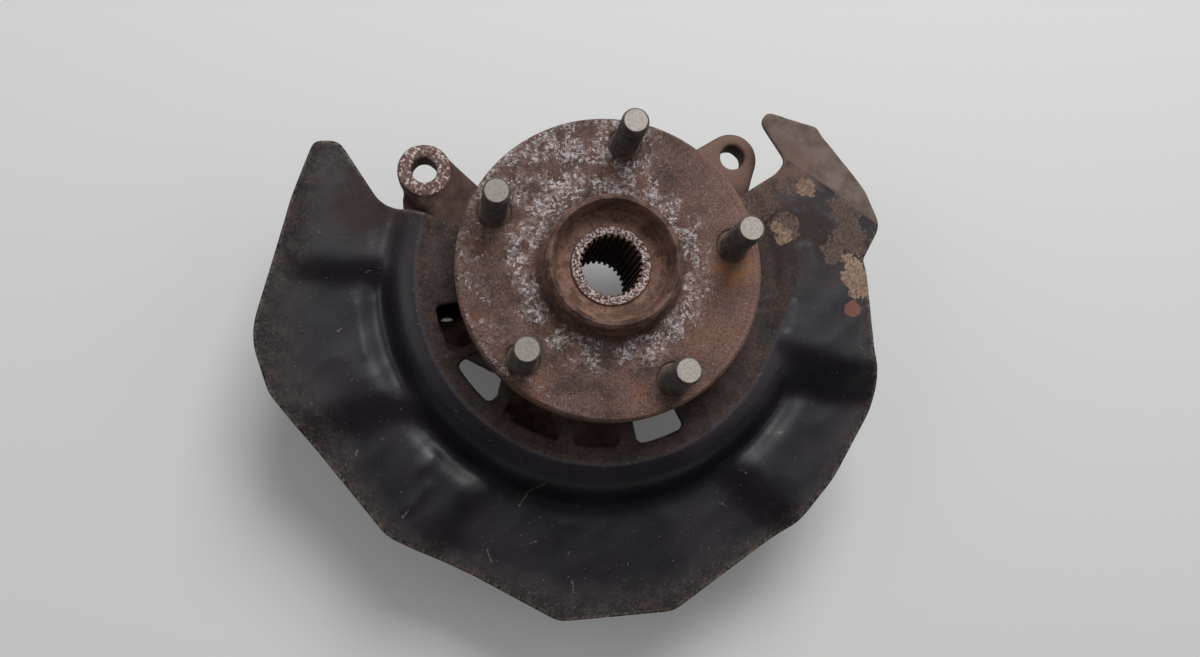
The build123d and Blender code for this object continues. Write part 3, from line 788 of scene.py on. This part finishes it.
def make_casting():
    """A rough casting: the machined solid remeshed so that its ribs and arms flow together."""
    shape = merged_copy("knuckle")
    add_webs(shape)
    cast = new_object("cast_knuckle", [], [])
    shape.to_mesh(cast.data)
    shape.free()
    remesh = cast.modifiers.new("grain", "REMESH")
    remesh.mode = "VOXEL"
    remesh.voxel_size = CAST_GRAIN_mm * MM
    soften = cast.modifiers.new("soften", "SMOOTH")
    soften.factor = CAST_SOFTEN
    soften.iterations = CAST_SOFTEN_ROUNDS
    finished(cast)
    roughen_casting(cast.data)
    smooth(cast)
    return cast


def roughen_casting(mesh):
    """Cast lumps and dimples, kept out of the machined bore and faint on the ears, inside the box."""
    low, high = (np.array(corner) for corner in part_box("knuckle"))
    places = coordinates(mesh)
    normals = np.empty(len(mesh.vertices) * 3)
    mesh.vertices.foreach_get("normal", normals)
    normals = normals.reshape(-1, 3)
    moved = np.empty(len(places))
    for index, place in enumerate(places):
        lumps = noise.fractal(Vector(place) * LUMPS_PER_METRE, 0.9, 2.1, 3)
        dimples = noise.noise(Vector(place) * DIMPLES_PER_METRE)
        moved[index] = CAST_LUMPS_mm * lumps + CAST_DIMPLES_mm * dimples + CAST_SWELL_mm
    rough = step(np.hypot(places[:, 0], places[:, 1]), *MACHINED_BORE)
    ears = step(places[:, 1], *EAR_Y) * step(places[:, 2], *EAR_Z)
    rough *= EAR_SHARE + (1 - EAR_SHARE) * (1 - ears)
    places = places + normals * (moved * rough * MM)[:, None]
    places = np.clip(places, low, high)
    mesh.vertices.foreach_set("co", places.ravel())
    mesh.update()


# ---------------------------------------------------------------- wheel studs
def thread_profile():
    """One stud as a grid of rings whose radius follows the thread."""
    length = THREAD_END - THREAD_START
    rows = int(length / THREAD_PITCH * ROWS_PER_PITCH)
    vertices, faces = [], []
    for row in range(rows + 1):
        z = THREAD_START + length * row / rows
        for turn in range(STUD_SIDES):
            phase = (z / THREAD_PITCH - turn / STUD_SIDES) % 1.0
            # straight flanks between a flat crest and a flat root
            groove = min(1.0, max(0.0, abs(phase * 2 - 1) * 1.35 - 0.12))
            ends = min(1.0, (THREAD_END - z) / CHAMFER_RUN)
            radius = min(STUD_R - THREAD_DEPTH * groove, STUD_R - CHAMFER + CHAMFER * ends)
            vertices.append((*stud_corner(radius, turn), z))
    for row in range(rows):
        add_band(faces, row * STUD_SIDES, (row + 1) * STUD_SIDES)
    top = rows * STUD_SIDES
    faces.append(tuple(top + turn for turn in range(STUD_SIDES)))
    add_shank(vertices, faces)
    return vertices, faces


def stud_corner(radius, turn):
    angle = 2 * pi * turn / STUD_SIDES
    return radius * cos(angle), radius * sin(angle)


def add_band(faces, lower, upper):
    """Faces between two rings of corners, each given by its first corner."""
    for turn in range(STUD_SIDES):
        following = (turn + 1) % STUD_SIDES
        faces.append((lower + turn, lower + following, upper + following, upper + turn))


def add_shank(vertices, faces):
    """The plain neck, the seat in its hole and the round head behind the flange."""
    bottom = HEAD_TOP - HEAD_THICK
    rings = (
        (STUD_NECK_R, THREAD_START), (STUD_NECK_R, 0.0002), (STUD_SEAT_R, -0.0008),
        (STUD_SEAT_R, HEAD_TOP), (STUD_HEAD_R, HEAD_TOP),
        (STUD_HEAD_R, bottom + HEAD_EDGE), (STUD_HEAD_R - HEAD_EDGE, bottom),
    )
    first = len(vertices)
    for radius, z in rings:
        vertices += [(*stud_corner(radius, turn), z) for turn in range(STUD_SIDES)]
    for row in range(len(rings) - 1):
        add_band(faces, first + (row + 1) * STUD_SIDES, first + row * STUD_SIDES)
    last = first + (len(rings) - 1) * STUD_SIDES
    faces.append(tuple(last + turn for turn in reversed(range(STUD_SIDES))))
    add_band(faces, first, 0)


def stud_circle_tree(material):
    """Geometry Nodes: one stud repeated round its bolt circle."""
    tree = bpy.data.node_groups.new("stud_circle", "GeometryNodeTree")
    face = tree.interface
    face.new_socket("Geometry", in_out="INPUT", socket_type="NodeSocketGeometry")
    face.new_socket("Count", in_out="INPUT", socket_type="NodeSocketInt")
    face.new_socket("Pitch Radius", in_out="INPUT", socket_type="NodeSocketFloat")
    face.new_socket("First Angle", in_out="INPUT", socket_type="NodeSocketFloat")
    face.new_socket("Geometry", in_out="OUTPUT", socket_type="NodeSocketGeometry")
    nodes, links = tree.nodes, tree.links
    start, end = nodes.new("NodeGroupInput"), nodes.new("NodeGroupOutput")
    circle = nodes.new("GeometryNodeMeshCircle")
    turn = nodes.new("GeometryNodeTransform")
    spin = nodes.new("ShaderNodeCombineXYZ")
    place = nodes.new("GeometryNodeInstanceOnPoints")
    real = nodes.new("GeometryNodeRealizeInstances")
    finish = nodes.new("GeometryNodeSetMaterial")
    finish.inputs["Material"].default_value = material
    links.new(start.outputs["Count"], circle.inputs["Vertices"])
    links.new(start.outputs["Pitch Radius"], circle.inputs["Radius"])
    links.new(start.outputs["First Angle"], spin.inputs["Z"])
    links.new(circle.outputs["Mesh"], turn.inputs["Geometry"])
    links.new(spin.outputs["Vector"], turn.inputs["Rotation"])
    links.new(turn.outputs["Geometry"], place.inputs["Points"])
    links.new(start.outputs["Geometry"], place.inputs["Instance"])
    links.new(place.outputs["Instances"], real.inputs["Geometry"])
    links.new(real.outputs["Geometry"], finish.inputs["Geometry"])
    links.new(finish.outputs["Geometry"], end.inputs["Geometry"])
    return tree


def set_inputs(modifier, values):
    for item in modifier.node_group.interface.items_tree:
        if item.in_out == "INPUT" and item.name in values:
            modifier[item.identifier] = values[item.name]


def make_studs(material):
    studs = new_object("wheel_studs", *thread_profile())
    modifier = studs.modifiers.new("circle", "NODES")
    modifier.node_group = stud_circle_tree(material)
    sizes = {"Count": STUD_COUNT, "Pitch Radius": STUD_PITCH_R, "First Angle": STUD_FIRST_ANGLE}
    set_inputs(modifier, sizes)
    finished(studs)
    smooth(studs)
    mark_sharp(studs, SHARP_EDGE_DEG)
    return studs


def mark_sharp(thing, degrees_apart):
    """Shades edges hard where their faces stand at least so far apart."""
    limit = radians(degrees_apart)
    shape = bmesh.new()
    shape.from_mesh(thing.data)
    for edge in shape.edges:
        edge.smooth = len(edge.link_faces) != 2 or edge.calc_face_angle(0) < limit
    shape.to_mesh(thing.data)
    shape.free()


# ---------------------------------------------------------------- table, light and camera
def make_table():
    reach, rest = TABLE_REACH, cad_box[0][2]
    corners = [(-reach, -reach, rest), (reach, -reach, rest), (reach, reach, rest), (-reach, reach, rest)]
    table = new_object("table", corners, [(0, 1, 2, 3)])
    paint = Paint("table_top", Roughness=TABLE_ROUGHNESS, Base_Color=PALE_GREY)
    lift_for_camera(paint)
    table.data.materials.append(paint.material)


def lift_for_camera(paint):
    """Lightens the table's deep shadow a little where a camera or a shiny surface sees it."""
    seen = [paint.node("ShaderNodeLightPath", {}, {}, label) for label in SEEN_RAYS]
    share = seen[0].over(seen[1]).over(seen[2]) * SHADOW_LIFT
    surface = Field(paint, paint.shader.outputs[0])
    glow = paint.node("ShaderNodeEmission", {}, {"Color": SHADOW_COLOUR})
    mixed = paint.node("ShaderNodeMixShader", {}, {0: share, 1: surface, 2: glow})
    paint.tree.links.new(mixed.socket, paint.tree.nodes["Material Output"].inputs["Surface"])


def aim(thing, place, target):
    thing.location = place
    thing.rotation_euler = (Vector(target) - Vector(place)).to_track_quat("-Z", "Y").to_euler()


def make_lamp(name, place, size, power, target):
    lamp = bpy.data.lights.new(name, "AREA")
    lamp.shape = "RECTANGLE"
    lamp.size, lamp.size_y = size
    lamp.energy = power
    holder = bpy.data.objects.new(name, lamp)
    bpy.context.scene.collection.objects.link(holder)
    aim(holder, place, target)


def make_light():
    for lamp in LAMPS:
        make_lamp(*lamp)
    world = bpy.data.worlds.new("studio")
    bpy.context.scene.world = world
    world.use_nodes = True
    nodes, links = world.node_tree.nodes, world.node_tree.links
    nodes["Background"].inputs["Color"].default_value = WORLD_COLOUR
    nodes["Background"].inputs["Strength"].default_value = WORLD_STRENGTH
    pale = nodes.new("ShaderNodeBackground")
    pale.inputs["Color"].default_value = PALE_GREY
    blend = nodes.new("ShaderNodeMixShader")
    links.new(nodes.new("ShaderNodeLightPath").outputs["Is Camera Ray"], blend.inputs["Fac"])
    links.new(nodes["Background"].outputs["Background"], blend.inputs[1])
    links.new(pale.outputs["Background"], blend.inputs[2])
    links.new(blend.outputs["Shader"], nodes["World Output"].inputs["Surface"])


def make_camera():
    camera = bpy.data.cameras.new("camera")
    camera.sensor_width = SENSOR_WIDTH
    camera.lens = CAMERA_LENS
    camera.clip_start = CLIP_START
    holder = bpy.data.objects.new("camera", camera)
    bpy.context.scene.collection.objects.link(holder)
    holder.location = CAMERA_PLACE
    holder.rotation_euler = [radians(angle) for angle in CAMERA_TURN_DEG]
    bpy.context.scene.camera = holder


def dress(node, material):
    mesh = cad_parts[node].data
    mesh.materials.clear()
    mesh.materials.append(material)


def build():
    make_camera()
    make_table()
    make_light()
    shield = make_shield()
    shield.data.materials.append(shield_paint())
    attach(shield, "knuckle_body")
    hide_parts("dust_shield")

    cast = make_casting()
    cast.data.materials.clear()
    cast.data.materials.append(casting_rust())
    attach(cast, "knuckle_body")
    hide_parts("knuckle")

    studs = make_studs(thread_steel())
    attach(studs, "hub_body")
    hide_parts(*[f"wheel_stud_{number}" for number in range(1, STUD_COUNT + 1)])

    dress("hub", hub_rust())
    ground = plain_steel("ground_steel", (0.42, 0.41, 0.40), (0.28, 0.26, 0.25), 0.35, 0.9)
    dull = plain_steel("dull_steel", (0.16, 0.12, 0.10), (0.09, 0.06, 0.05), 0.7, 0.3)
    rubber = plain_steel("seal_rubber", (0.030, 0.028, 0.027), (0.045, 0.038, 0.033), 0.7, 0.0)
    cage = plain_steel("cage_plastic", (0.20, 0.12, 0.06), (0.14, 0.08, 0.04), 0.55, 0.0)
    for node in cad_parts:
        if node.startswith("bearing_seal"):
            dress(node, rubber)
        elif node.startswith("bearing_cage"):
            dress(node, cage)
        elif node.startswith("bearing_"):
            dress(node, ground)
        elif node == "snap_ring" or node.startswith("shield_bolt"):
            dress(node, dull)


build()
bpy.context.scene.view_settings.view_transform = "Standard"
